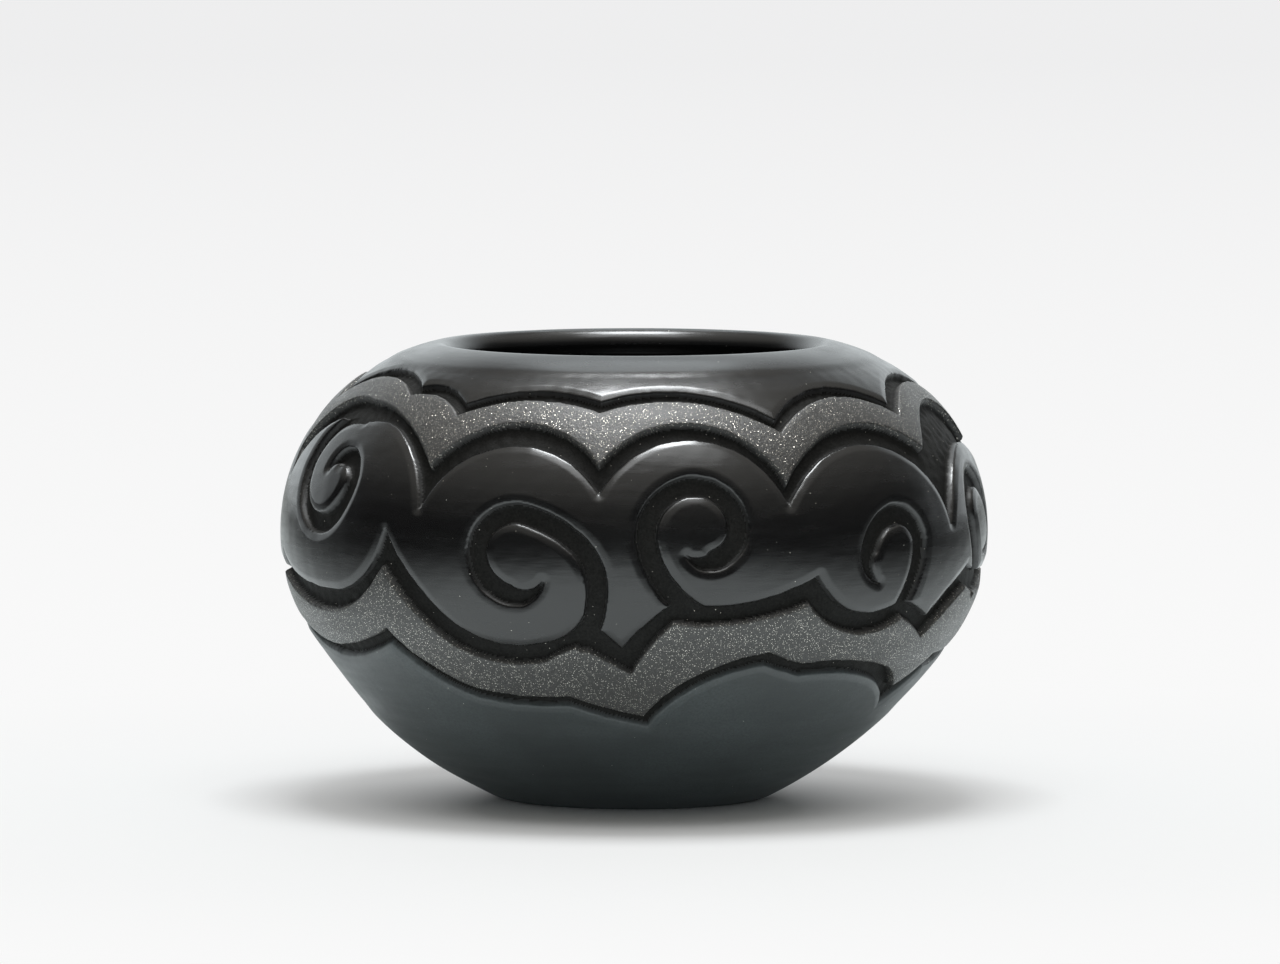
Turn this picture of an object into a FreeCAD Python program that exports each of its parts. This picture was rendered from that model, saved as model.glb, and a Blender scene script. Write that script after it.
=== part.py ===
"""A squat carved blackware jar, coil built and carved through its outer skin.

The origin is the middle of the foot, with +Z up. Lengths are in millimetres.
The jar is drawn as one outline of four tangent arcs, from the foot over the belly to the shoulder,
that a rolled lip closes. A base pat, nine coils and a rim coil make the wall. Over the coils lies
the outer skin, which the carver's trenches divide into five fields: a polished shoulder, a matte
ribbon, a polished band of scrolls, a second matte ribbon and a polished bowl. Places along the
outline are shares of its length from foot to lip, and places round the jar are degrees from the
front, seen from above.
"""
import FreeCAD, Part
import Sketcher
import math
import os

Vector = FreeCAD.Vector

# Sizes that can each be changed by themselves
SIZES = {
    "jar_height": 146.0,
    "belly_radius": 113.6,
    "foot_radius": 45.6,
    "foot_round": 1.8,
    "lip_radius": 62.8,
    "lip_round": 4.9,
    "wall_thickness": 7.5,
    "base_thickness": 8.0,
    "carve_depth": 3.0,
    "wall_run": 0.9,
    "shoulder_groove_width": 4.7,
    "volute_width": 6.4,
    "lid_overrun": 3.2,
    "floor_overrun": 0.6,
}
BELLY_HEIGHT_SHARE = 0.589

# How far the outline's normal turns from level, down to the foot and up to the lip
FOOT_TURN_DEGREES = -62.4
BOWL_TURN_DEGREES = -35.0
SHOULDER_TURN_DEGREES = 41.2
LIP_TURN_DEGREES = 78.0

# Where the coils begin and end along the outline, and how many there are of each
FIRST_JOINT_SHARE = 0.214
LAST_JOINT_SHARE = 0.940
COILS = (("bowl_coil", 2), ("belly_coil", 5), ("shoulder_coil", 2))

# Carved edges: (degrees round, share of the outline, bow share of the span to the next corner)
# A bow is how far a span stands out from its chord, upwards where it is positive
SHOULDER_EDGE_SHARES = (
    (-84.0, 0.842, 0.165), (-51.3, 0.875, 0.130), (-35.4, 0.840, 0.110), (-6.6, 0.854, 0.133),
    (27.5, 0.808, 0.188), (59.2, 0.824, 0.170),
)
CLOUD_TOP_SHARES = (
    (-84.0, 0.711, 0.180), (-61.7, 0.829, 0.116), (-36.8, 0.715, 0.270), (-5.9, 0.722, 0.306),
    (26.0, 0.687, 0.229), (60.3, 0.732, 0.260),
)
CLOUD_FOOT_SHARES = (
    (-84.0, 0.676, 0.170), (-58.5, 0.790, 0.215), (-37.2, 0.647, 0.309), (-5.7, 0.680, 0.339),
    (26.0, 0.656, 0.328), (63.1, 0.606, 0.300),
)
LOBE_FOOT_SHARES = (
    (-84.0, 0.548, -0.060), (-59.0, 0.499, -0.170), (-44.0, 0.607, -0.030), (-31.6, 0.459, -0.120),
    (-14.3, 0.430, -0.115), (-8.3, 0.478, 0.020), (-2.0, 0.417, 0.040), (6.2, 0.498, -0.080),
    (31.0, 0.540, -0.220), (49.8, 0.490, 0.030), (58.4, 0.452, 0.050), (70.4, 0.530, -0.100),
)
RIBBON_TOP_SHARES = (
    (-84.0, 0.512, -0.050), (-62.0, 0.464, -0.115), (-44.4, 0.551, -0.040), (-32.6, 0.424, -0.110),
    (-15.2, 0.396, 0.040), (-9.6, 0.425, 0.020), (-0.4, 0.369, 0.060), (6.4, 0.469, -0.060),
    (29.6, 0.496, -0.180), (50.6, 0.459, 0.020), (59.4, 0.416, 0.060), (71.4, 0.497, -0.100),
)
RIBBON_FOOT_SHARES = (
    (-84.0, 0.445, -0.060), (-66.0, 0.394, -0.050), (-46.2, 0.440, -0.070), (-31.4, 0.330, -0.040),
    (-12.4, 0.318, -0.030), (2.0, 0.273, 0.110), (24.0, 0.407, -0.020), (31.5, 0.380, 0.050),
    (52.3, 0.361, 0.060), (61.4, 0.308, -0.030), (71.0, 0.369, -0.080),
)
BOWL_EDGE_SHARES = (
    (-84.0, 0.422, -0.060), (-66.0, 0.372, -0.050), (-46.9, 0.415, -0.070), (-32.4, 0.309, -0.040),
    (-12.8, 0.296, -0.030), (2.9, 0.248, 0.110), (23.8, 0.383, -0.020), (31.7, 0.356, 0.050),
    (51.5, 0.334, 0.050), (63.2, 0.268, -0.030), (72.2, 0.342, -0.080),
)

# The far side repeats a pair of clouds, from a first corner and at an even pace
PAIR_STARTS = (95.0, 155.3, 215.7)
PAIR_PACE = 30.2
SHOULDER_PAIR_SHARES = ((0.0, 0.830, 0.170), (1.0, 0.842, 0.170))
CLOUD_TOP_PAIR_SHARES = ((0.0, 0.722, 0.290), (1.0, 0.735, 0.290))
CLOUD_FOOT_PAIR_SHARES = ((0.0, 0.660, 0.310), (1.0, 0.674, 0.310))
LOBE_FOOT_PAIR_SHARES = (
    (0.0, 0.552, -0.030), (0.38, 0.466, -0.120), (0.69, 0.435, -0.100), (0.86, 0.472, 0.020),
    (1.04, 0.420, 0.040), (1.27, 0.500, -0.080),
)
RIBBON_TOP_PAIR_SHARES = (
    (0.0, 0.505, -0.040), (0.36, 0.430, -0.110), (0.70, 0.402, 0.040), (0.82, 0.422, 0.020),
    (1.07, 0.372, 0.060), (1.28, 0.470, -0.060),
)
RIBBON_FOOT_PAIR_SHARES = (
    (0.0, 0.432, -0.070), (0.43, 0.334, -0.040), (0.80, 0.322, -0.030), (1.08, 0.276, 0.070),
    (1.56, 0.398, -0.050),
)
BOWL_EDGE_PAIR_SHARES = (
    (-0.03, 0.408, -0.070), (0.40, 0.312, -0.040), (0.79, 0.300, -0.030), (1.11, 0.252, 0.070),
    (1.545, 0.375, -0.050),
)

# Volutes: heading of the first stroke in degrees, then (degrees round, share) along the middle
VOLUTE_SHARES = (
    (172.0, ((-59.5, 0.800), (-70.8, 0.731), (-70.6, 0.658), (-61.1, 0.609), (-54.9, 0.675),
             (-59.3, 0.721), (-61.6, 0.696))),
    (60.0, ((-8.4, 0.432), (-5.9, 0.526), (-9.4, 0.601), (-18.0, 0.644), (-25.8, 0.574),
            (-20.8, 0.513), (-16.2, 0.540))),
    (150.0, ((10.5, 0.480), (2.2, 0.592), (9.4, 0.692), (16.9, 0.622), (13.2, 0.572),
             (9.8, 0.586))),
    (60.0, ((50.0, 0.478), (53.0, 0.574), (46.8, 0.630), (41.2, 0.581), (43.6, 0.538))),
    (118.0, ((77.5, 0.488), (72.5, 0.595), (79.5, 0.668), (86.0, 0.606), (81.0, 0.560))),
)
OPENING_LEFT = (60.0, ((0.80, 0.440), (0.885, 0.540), (0.62, 0.640), (0.36, 0.575),
                       (0.52, 0.515), (0.66, 0.545)))
OPENING_RIGHT = (138.0, ((1.38, 0.480), (1.17, 0.585), (1.42, 0.675), (1.67, 0.610),
                         (1.53, 0.560), (1.42, 0.580)))

STATIONS = 9


def joint_shares():
    """Even steps along the outline from the first joint to the last."""
    count = sum(number for _, number in COILS)
    step = (LAST_JOINT_SHARE - FIRST_JOINT_SHARE) / count
    return [FIRST_JOINT_SHARE + step * place for place in range(count + 1)]


def polar(centre, radius, angle):
    """The point at an angle on a circle, as (radius from the axis, height)."""
    return (centre[0] + radius * math.cos(angle), centre[1] + radius * math.sin(angle))


def two_curves(first_degrees, second_degrees, step):
    """The radii of two arcs that turn from level by the angles and together span a step.

    From the angle a to the angle b an arc of radius r spans r (cos b - cos a, sin b - sin a), so
    the two radii solve a pair of linear equations.
    """
    first, second = math.radians(first_degrees), math.radians(second_degrees)
    near = (math.cos(first) - 1.0, math.sin(first))
    far = (math.cos(second) - math.cos(first), math.sin(second) - math.sin(first))
    share = near[0] * far[1] - near[1] * far[0]
    return ((step[0] * far[1] - step[1] * far[0]) / share,
            (near[0] * step[1] - near[1] * step[0]) / share)


class Outline:
    """The jar's outer line from the foot up to the lip: bowl, lower and upper belly, shoulder."""

    def __init__(self, size):
        belly = size["belly_radius"]
        height = BELLY_HEIGHT_SHARE * size["jar_height"]
        foot, bowl, shoulder, lip = (math.radians(turn) for turn in (
            FOOT_TURN_DEGREES, BOWL_TURN_DEGREES, SHOULDER_TURN_DEGREES, LIP_TURN_DEGREES))
        self.lip = (size["lip_radius"], size["jar_height"] - size["lip_round"])
        start = (size["foot_radius"], size["foot_round"])
        end = polar(self.lip, size["lip_round"], lip)
        low_curve, bowl_curve = two_curves(BOWL_TURN_DEGREES, FOOT_TURN_DEGREES,
                                           (start[0] - belly, start[1] - height))
        high_curve, shoulder_curve = two_curves(SHOULDER_TURN_DEGREES, LIP_TURN_DEGREES,
                                                (end[0] - belly, end[1] - height))
        self.around = belly
        self.arcs = (
            (polar(start, -bowl_curve, foot), bowl_curve, foot, bowl),
            ((belly - low_curve, height), low_curve, bowl, 0.0),
            ((belly - high_curve, height), high_curve, 0.0, shoulder),
            (polar(end, -shoulder_curve, lip), shoulder_curve, shoulder, lip),
        )
        self.lengths = [radius * (end - start) for _, radius, start, end in self.arcs]
        self.length = sum(self.lengths)

    def at(self, rise, depth):
        """The point at a length up the outline and a depth under it, as (radius, height)."""
        last = len(self.arcs) - 1
        for number, (centre, radius, start, _) in enumerate(self.arcs):
            if rise <= self.lengths[number] or number == last:
                return polar(centre, radius - depth, start + rise / radius)
            rise -= self.lengths[number]

    def on_wall(self, along, rise, depth):
        """A point of the unrolled wall, set back on the jar at a depth."""
        radius, height = self.at(rise, depth)
        turn = along / self.around
        return Vector(radius * math.sin(turn), -radius * math.cos(turn), height)


def tangent_point(centre, radius, outside):
    """Where a line from a point touches a round on its inner side."""
    reach = math.hypot(outside[0] - centre[0], outside[1] - centre[1])
    bearing = math.atan2(outside[1] - centre[1], outside[0] - centre[0])
    return polar(centre, radius, bearing - math.acos(radius / reach))


def corner_points(size, outline):
    """Every named corner of the turned pieces, as (radius, height)."""
    corners = {}
    for place, share in enumerate(joint_shares()):
        rise = share * outline.length
        corners["skin%d" % place] = outline.at(rise, 0.0)
        corners["step%d" % place] = outline.at(rise, size["carve_depth"])
        corners["inner%d" % place] = outline.at(rise, size["wall_thickness"])
    bowl, bowl_curve = outline.arcs[0][0], outline.arcs[0][1]
    inner_curve = bowl_curve - size["wall_thickness"]
    drop = math.asin((size["base_thickness"] - bowl[1]) / inner_curve)
    corners["floor_edge"] = polar(bowl, inner_curve, drop)
    corners["floor_middle"] = (0.0, size["base_thickness"])
    corners["foot_middle"] = (0.0, 0.0)
    corners["foot_flat"] = (size["foot_radius"] - size["foot_round"], 0.0)
    corners["foot_edge"] = (size["foot_radius"], size["foot_round"])
    for word, (centre, radius, _, end) in zip(("bowl", "low", "high", "lip"), outline.arcs):
        corners[word + "_meet"] = polar(centre, radius, end)
    last = len(joint_shares()) - 1
    corners["lip_mouth"] = polar(outline.lip, size["lip_round"], math.pi)
    corners["lip_inside"] = tangent_point(outline.lip, size["lip_round"],
                                          corners["inner%d" % last])
    return corners


def fill_sheet(doc, name, values):
    """A sheet with one plain number in each row, and its name as the alias."""
    sheet = doc.addObject("Spreadsheet::Sheet", name)
    for row, (alias, value) in enumerate(values.items(), start=1):
        sheet.set("A%d" % row, alias)
        sheet.set("B%d" % row, repr(value))
        sheet.setAlias("B%d" % row, alias)
    return sheet


def pin(sketch, edge, end, corner, values):
    """Holds one end of an edge at a named corner, through the sheet."""
    for kind, axis, word in (("DistanceX", -2, "radius"), ("DistanceY", -1, "height")):
        alias = "%s_%s" % (corner, word)
        if values[alias] == 0.0:
            sketch.addConstraint(Sketcher.Constraint("PointOnObject", edge, end, axis))
            continue
        number = sketch.addConstraint(
            Sketcher.Constraint(kind, -1, 1, edge, end, values[alias]))
        sketch.setExpression("Constraints[%d]" % number, "corners.%s" % alias)


def arc_between(start, finish, centre, radius):
    """The short arc from start to finish about a centre."""
    mid = ((start[0] + finish[0]) / 2 - centre[0], (start[1] + finish[1]) / 2 - centre[1])
    reach = math.hypot(*mid)
    crest = (centre[0] + mid[0] * radius / reach, centre[1] + mid[1] * radius / reach)
    return Part.Arc(*(Vector(x, y, 0) for x, y in (start, crest, finish)))


def turned(doc, label, names, curves, corners, values):
    """A body turned about the upright axis from a closed outline of named corners.

    curves gives, for the corner that an arc starts from, the arc's centre and its radius in the
    sheet. The other edges are straight.
    """
    body = doc.addObject("PartDesign::Body", label)
    body.Label = label
    sketch = body.newObject("Sketcher::SketchObject", label + "_outline")
    plane = [item for item in body.Origin.OriginFeatures if item.Role == "XZ_Plane"][0]
    sketch.AttachmentSupport = [(plane, "")]
    sketch.MapMode = "FlatFace"
    ends = []
    for here, there in zip(names, names[1:] + names[:1]):
        start, finish = corners[here], corners[there]
        if here in curves:
            centre, alias = curves[here]
            shape = arc_between(start, finish, centre, values[alias])
        else:
            shape = Part.LineSegment(Vector(*start, 0), Vector(*finish, 0))
        edge = sketch.addGeometry(shape)
        first = sketch.getPoint(edge, 1)
        near = math.hypot(first.x - start[0], first.y - start[1])
        far = math.hypot(first.x - finish[0], first.y - finish[1])
        ends.append((edge, 1, 2) if near < far else (edge, 2, 1))
        if here in curves:
            number = sketch.addConstraint(Sketcher.Constraint("Radius", edge, values[alias]))
            sketch.setExpression("Constraints[%d]" % number, "corners.%s" % alias)
    for (edge, _, finish), (following, start, _) in zip(ends, ends[1:] + ends[:1]):
        sketch.addConstraint(Sketcher.Constraint("Coincident", edge, finish, following, start))
    for (edge, start, _), corner in zip(ends, names):
        pin(sketch, edge, start, corner, values)
    turn = body.newObject("PartDesign::Revolution", label + "_turn")
    turn.Profile = sketch
    turn.ReferenceAxis = (sketch, ["V_Axis"])
    turn.Angle = 360.0
    return body


def bowed(start, finish, bow_share):
    """The arc between two flat points, as (centre, radius, first angle, sweep).

    The bow is the arc's height over its chord, as a share of the chord.
    """
    chord = (finish[0] - start[0], finish[1] - start[1])
    span = math.hypot(*chord)
    bow = bow_share * span
    radius = (span ** 2 / 4 + bow ** 2) / (2 * abs(bow))
    side = math.copysign(radius - abs(bow), bow) / span
    centre = ((start[0] + finish[0]) / 2 + side * chord[1],
              (start[1] + finish[1]) / 2 - side * chord[0])
    first = math.atan2(start[1] - centre[1], start[0] - centre[0])
    return centre, radius, first, -4 * math.atan(2 * bow_share)


def unrolled(outline, shares):
    """Corners on the unrolled wall, in millimetres along and up."""
    return [(math.radians(row[0]) * outline.around, row[1] * outline.length) for row in shares]


def ring_arcs(outline, shares):
    """The arcs of a carved edge that runs all the way round."""
    points = unrolled(outline, shares)
    points.append((points[0][0] + 2 * math.pi * outline.around, points[0][1]))
    return [bowed(here, there, row[2]) for here, there, row in zip(points, points[1:], shares)]


def spiral_arcs(outline, heading_degrees, shares):
    """Arcs through the corners, each one leaving in the direction that the last one ends in."""
    points = unrolled(outline, shares)
    heading = math.radians(heading_degrees)
    arcs = []
    for here, there in zip(points, points[1:]):
        swing = math.atan2(there[1] - here[1], there[0] - here[0]) - heading
        swing = (swing + math.pi) % (2 * math.pi) - math.pi
        arcs.append(bowed(here, there, -math.tan(swing / 2) / 2))
        heading += 2 * swing
    return arcs


def crossing(first, second, near):
    """Where two circles cross, at the crossing nearest to a point."""
    (ax, ay), ar = first
    (bx, by), br = second
    reach = math.hypot(bx - ax, by - ay)
    along = (ar ** 2 - br ** 2 + reach ** 2) / (2 * reach)
    aside = math.sqrt(max(ar ** 2 - along ** 2, 0.0))
    ux, uy = (bx - ax) / reach, (by - ay) / reach
    both = [(ax + along * ux - way * aside * uy, ay + along * uy + way * aside * ux)
            for way in (1, -1)]
    return min(both, key=lambda spot: math.hypot(spot[0] - near[0], spot[1] - near[1]))


SMOOTH_TURN = math.radians(6.0)


def shifted(arcs, shift, lap):
    """The arcs moved to their left by a shift, cut or run on to meet at the corners.

    lap is the way round for an edge that closes on itself, and zero for an open one.
    """
    moved = [[centre, radius - math.copysign(1, sweep) * shift, first, sweep]
             for centre, radius, first, sweep in arcs]
    pairs = [(place, place + 1, 0.0) for place in range(len(arcs) - 1)]
    if lap:
        pairs.append((len(arcs) - 1, 0, lap))
    for before, after, ahead in pairs:
        here, there = moved[before], moved[after]
        finish = here[2] + here[3]
        leaving = finish + math.copysign(math.pi / 2, here[3])
        arriving = there[2] + math.copysign(math.pi / 2, there[3])
        turn = (arriving - leaving + math.pi) % (2 * math.pi) - math.pi
        if abs(turn) < SMOOTH_TURN:
            continue
        corner = polar(arcs[before][0], arcs[before][1], arcs[before][2] + arcs[before][3])
        centre = (there[0][0] + ahead, there[0][1])
        meet = crossing((here[0], here[1]), (centre, there[1]), corner)
        ending = math.atan2(meet[1] - here[0][1], meet[0] - here[0][0])
        starting = math.atan2(meet[1] - centre[1], meet[0] - centre[0])
        here[3] += (ending - finish + math.pi) % (2 * math.pi) - math.pi
        cut = (starting - there[2] + math.pi) % (2 * math.pi) - math.pi
        there[2] += cut
        there[3] -= cut
    return moved


def wall_edges(outline, arcs, depth, lap):
    """One smooth edge on the jar, at a depth, for each flat arc, joined end to end."""
    flats = [[polar(centre, radius, first + sweep * step / (STATIONS - 1))
              for step in range(STATIONS)] for centre, radius, first, sweep in arcs]
    for here, there in zip(flats, flats[1:]):
        joint = tuple((a + b) / 2 for a, b in zip(here[-1], there[0]))
        here[-1] = joint
        there[0] = joint
    if lap:
        joint = ((flats[-1][-1][0] - lap + flats[0][0][0]) / 2,
                 (flats[-1][-1][1] + flats[0][0][1]) / 2)
        flats[0][0] = joint
        flats[-1][-1] = (joint[0] + lap, joint[1])
    edges = []
    for flat in flats:
        curve = Part.BSplineCurve()
        curve.interpolate([outline.on_wall(along, rise, depth) for along, rise in flat])
        edges.append(curve.toShape())
    return edges


def cutter(outline, upper, lower, size, lap):
    """A solid that cuts one trench, between an upper and a lower edge on the wall.

    Its section has four corners: two over the surface, wider apart, and two under the skin. Both
    walls lean in by the wall run over the carving depth.
    """
    over = size["lid_overrun"]
    lean = size["wall_run"] / size["carve_depth"]
    floor = size["carve_depth"] + size["floor_overrun"]
    rails = [
        wall_edges(outline, shifted(upper, over * lean, lap), -over, lap),
        wall_edges(outline, shifted(upper, -floor * lean, lap), floor, lap),
        wall_edges(outline, shifted(lower, floor * lean, lap), floor, lap),
        wall_edges(outline, shifted(lower, -over * lean, lap), -over, lap),
    ]
    faces = []
    for here, there in zip(rails, rails[1:] + rails[:1]):
        faces += [Part.makeRuledSurface(one, other) for one, other in zip(here, there)]
    if not lap:
        for place, end in ((0, 0), (-1, -1)):
            spots = [rail[place].Vertexes[end].Point for rail in rails]
            faces.append(Part.makeRuledSurface(Part.makeLine(spots[0], spots[1]),
                                               Part.makeLine(spots[3], spots[2])))
    shell = Part.makeShell(faces)
    shell.sewShape()
    solid = Part.makeSolid(shell)
    if solid.Volume < 0:
        solid.reverse()
    return solid


def with_pairs(near_shares, pair_shares):
    """The front's corners, then the repeated pairs of clouds on the far side."""
    far = [(start + PAIR_PACE * steps, *rest)
           for start in PAIR_STARTS for steps, *rest in pair_shares]
    return list(near_shares) + far


def lowered(shares, drop_share):
    """The same corners, a little further down the wall."""
    return [(round_degrees, rise - drop_share, bow) for round_degrees, rise, bow in shares]


def trench_cutters(outline, size):
    """The cutters of the four trenches round the jar and of every volute."""
    lap = 2 * math.pi * outline.around
    shoulder = with_pairs(SHOULDER_EDGE_SHARES, SHOULDER_PAIR_SHARES)
    edges = [ring_arcs(outline, shares) for shares in (
        shoulder, lowered(shoulder, size["shoulder_groove_width"] / outline.length),
        with_pairs(CLOUD_TOP_SHARES, CLOUD_TOP_PAIR_SHARES),
        with_pairs(CLOUD_FOOT_SHARES, CLOUD_FOOT_PAIR_SHARES),
        with_pairs(LOBE_FOOT_SHARES, LOBE_FOOT_PAIR_SHARES),
        with_pairs(RIBBON_TOP_SHARES, RIBBON_TOP_PAIR_SHARES),
        with_pairs(RIBBON_FOOT_SHARES, RIBBON_FOOT_PAIR_SHARES),
        with_pairs(BOWL_EDGE_SHARES, BOWL_EDGE_PAIR_SHARES),
    )]
    rings = [cutter(outline, upper, lower, size, lap)
             for upper, lower in zip(edges[0::2], edges[1::2])]
    half = size["volute_width"] / 2
    strokes = list(VOLUTE_SHARES)
    for start in PAIR_STARTS:
        for heading, corners in (OPENING_LEFT, OPENING_RIGHT):
            strokes.append((heading, [(start + PAIR_PACE * steps, share)
                                      for steps, share in corners]))
    volutes = []
    for heading, corners in strokes:
        middle = spiral_arcs(outline, heading, corners)
        volutes.append(cutter(outline, shifted(middle, half, 0.0), shifted(middle, -half, 0.0),
                              size, 0.0))
    return rings, volutes


def build():
    """Makes the document, checks it and writes one file for each piece."""
    doc = FreeCAD.newDocument("carved_jar")
    sheet = fill_sheet(doc, "sizes", SIZES)
    doc.recompute()
    size = {alias: float(sheet.get(alias)) for alias in SIZES}
    outline = Outline(size)
    corners = corner_points(size, outline)
    values = {"%s_%s" % (name, word): number for name, pair in corners.items()
              for word, number in zip(("radius", "height"), pair)}
    values["lip_round"] = size["lip_round"]
    for word, arc in zip(("bowl", "low", "high", "shoulder"), outline.arcs):
        values[word + "_curve"] = arc[1]
    fill_sheet(doc, "corners", values)
    bowl, low, high, shoulder = (arc[0] for arc in outline.arcs)
    last = len(joint_shares()) - 1
    pieces = []

    pieces.append(turned(
        doc, "base_pat",
        ["foot_middle", "foot_flat", "foot_edge", "skin0", "inner0", "floor_edge", "floor_middle"],
        {"foot_edge": (bowl, "bowl_curve")}, corners, values))

    place = 0
    for word, number in COILS:
        for turn in range(1, number + 1):
            names = ["step%d" % place, "step%d" % (place + 1),
                     "inner%d" % (place + 1), "inner%d" % place]
            pieces.append(turned(doc, "%s_%d" % (word, turn), names, {}, corners, values))
            place += 1

    pieces.append(turned(
        doc, "rim_coil",
        ["skin%d" % last, "lip_meet", "lip_mouth", "lip_inside", "inner%d" % last],
        {"skin%d" % last: (shoulder, "shoulder_curve"), "lip_meet": (outline.lip, "lip_round"),
         "lip_mouth": (outline.lip, "lip_round")},
        corners, values))

    skin = turned(
        doc, "outer_skin",
        ["skin0", "bowl_meet", "low_meet", "high_meet", "skin%d" % last]
        + ["step%d" % place for place in range(last, -1, -1)],
        {"skin0": (bowl, "bowl_curve"), "bowl_meet": (low, "low_curve"),
         "low_meet": (high, "high_curve"), "high_meet": (shoulder, "shoulder_curve")},
        corners, values)
    carved = skin
    for label, solids in zip(("rings", "volutes"), trench_cutters(outline, size)):
        tools = doc.addObject("Part::Feature", label)
        tools.Shape = Part.makeCompound(solids)
        tools.Placement = FreeCAD.Placement()
        cut = doc.addObject("Part::Cut", "skin_less_" + label)
        cut.Base = carved
        cut.Tool = tools
        carved = cut
    doc.recompute()

    fields = sorted(carved.Shape.Solids, key=lambda solid: solid.CenterOfMass.z)
    print("solids left by the carving:", len(fields), [round(f.Volume) for f in fields])
    labels = ("bowl_field", "lower_ribbon", "scroll_band", "upper_ribbon", "shoulder_field")
    for label, solid in zip(labels, fields):
        field = doc.addObject("Part::Feature", label)
        field.Label = label
        field.Shape = solid
        field.Placement = FreeCAD.Placement()
        pieces.append(field)
    doc.recompute()

    for item in doc.Objects:
        if "Invalid" in item.State or "Error" in item.State:
            raise RuntimeError("%s failed: %s" % (item.Name, item.State))
    if len(fields) != len(labels):
        raise RuntimeError("the trenches left %d fields" % len(fields))
    os.makedirs("parts", exist_ok=True)
    for piece in pieces:
        shape = piece.Shape
        if shape.isNull() or not shape.isValid():
            raise RuntimeError("%s has no valid shape" % piece.Label)
        shape.exportStep("parts/%s.step" % piece.Label)
        print(piece.Label, "volume %.0f" % shape.Volume, "faces", len(shape.Faces))


build()
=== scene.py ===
# %% [markdown]
# # A carved blackware jar
# The CAD frame gives the jar's coils, lip, foot and five carved fields. This lesson dresses it: the
# wall is worked out again as one smooth surface of azimuth and length up the outline, the trenches
# are pressed into it by a distance formula, and the finishes tell burnished, satin, matte and cut
# clay apart. Lengths are in metres. Angles in the tables are degrees, from the front to the right.

# %% Frame and measures
import math
import bpy
import numpy as np
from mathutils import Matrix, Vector


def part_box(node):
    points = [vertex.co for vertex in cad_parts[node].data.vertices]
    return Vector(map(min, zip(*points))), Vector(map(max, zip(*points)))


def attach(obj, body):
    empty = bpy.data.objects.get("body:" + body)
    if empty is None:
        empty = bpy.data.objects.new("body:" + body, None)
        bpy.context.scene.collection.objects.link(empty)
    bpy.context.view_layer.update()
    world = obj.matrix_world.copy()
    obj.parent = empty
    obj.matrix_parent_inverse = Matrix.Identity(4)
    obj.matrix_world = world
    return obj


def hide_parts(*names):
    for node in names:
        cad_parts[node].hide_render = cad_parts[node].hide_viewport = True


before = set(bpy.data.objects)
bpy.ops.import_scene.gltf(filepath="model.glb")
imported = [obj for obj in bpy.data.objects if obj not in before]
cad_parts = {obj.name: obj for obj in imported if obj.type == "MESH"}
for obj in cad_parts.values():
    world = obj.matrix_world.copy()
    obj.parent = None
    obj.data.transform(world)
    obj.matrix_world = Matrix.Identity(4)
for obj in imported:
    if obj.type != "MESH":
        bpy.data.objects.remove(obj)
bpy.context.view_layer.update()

band_low, band_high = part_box("scroll_band")
rim_low, rim_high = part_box("rim_coil")
BELLY_RADIUS = (band_high[0] - band_low[0]) / 2
JAR_HEIGHT = rim_high[2]
print("belly radius", round(BELLY_RADIUS, 5), "height", round(JAR_HEIGHT, 5))

# %% [markdown]
# ## The outline
# On the real jar one line turns round the axis: a shallow bowl, a full belly, a shoulder and a lip
# rolled by the fingers. It could be a spline through many points. Four arcs that meet smoothly need
# only their turning angles, and they give exact normals, so that is how the CAD draws it as well.
# The radii of each pair of arcs follow from where the pair starts and ends.

# %% Outline of four arcs
MM = 0.001
FOOT_RADIUS = 45.6 * MM
FOOT_ROUND = 1.8 * MM
LIP_RADIUS = 62.8 * MM
LIP_ROUND = 4.9 * MM
WALL_THICKNESS = 7.5 * MM
BASE_THICKNESS = 8.0 * MM
CARVE_DEPTH = 3.0 * MM
BELLY_HEIGHT = 0.589 * JAR_HEIGHT
FOOT_TURN, BOWL_TURN, SHOULDER_TURN, LIP_TURN = np.radians((-62.4, -35.0, 41.2, 78.0))


def polar(centre, radius, angle):
    """Point on a circle: centre plus radius times (cos angle, sin angle)."""
    return centre[0] + radius * np.cos(angle), centre[1] + radius * np.sin(angle)


def two_curves(first, second, step):
    """Radii p, q with p (cos a - 1, sin a) + q (cos b - cos a, sin b - sin a) = step."""
    near = (math.cos(first) - 1, math.sin(first))
    far = (math.cos(second) - math.cos(first), math.sin(second) - math.sin(first))
    return np.linalg.solve(np.array([near, far]).T, step)


foot = (FOOT_RADIUS, FOOT_ROUND)
lip = (LIP_RADIUS, JAR_HEIGHT - LIP_ROUND)
crest = polar(lip, LIP_ROUND, LIP_TURN)
low_curve, bowl_curve = two_curves(BOWL_TURN, FOOT_TURN,
                                   (foot[0] - BELLY_RADIUS, foot[1] - BELLY_HEIGHT))
high_curve, shoulder_curve = two_curves(SHOULDER_TURN, LIP_TURN,
                                        (crest[0] - BELLY_RADIUS, crest[1] - BELLY_HEIGHT))
ARCS = (
    (polar(foot, -bowl_curve, FOOT_TURN), bowl_curve, FOOT_TURN, BOWL_TURN),
    ((BELLY_RADIUS - low_curve, BELLY_HEIGHT), low_curve, BOWL_TURN, 0.0),
    ((BELLY_RADIUS - high_curve, BELLY_HEIGHT), high_curve, 0.0, SHOULDER_TURN),
    (polar(crest, -shoulder_curve, LIP_TURN), shoulder_curve, SHOULDER_TURN, LIP_TURN),
)
LENGTH = sum(radius * (end - start) for _, radius, start, end in ARCS)
AROUND = 2 * math.pi * BELLY_RADIUS


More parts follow.
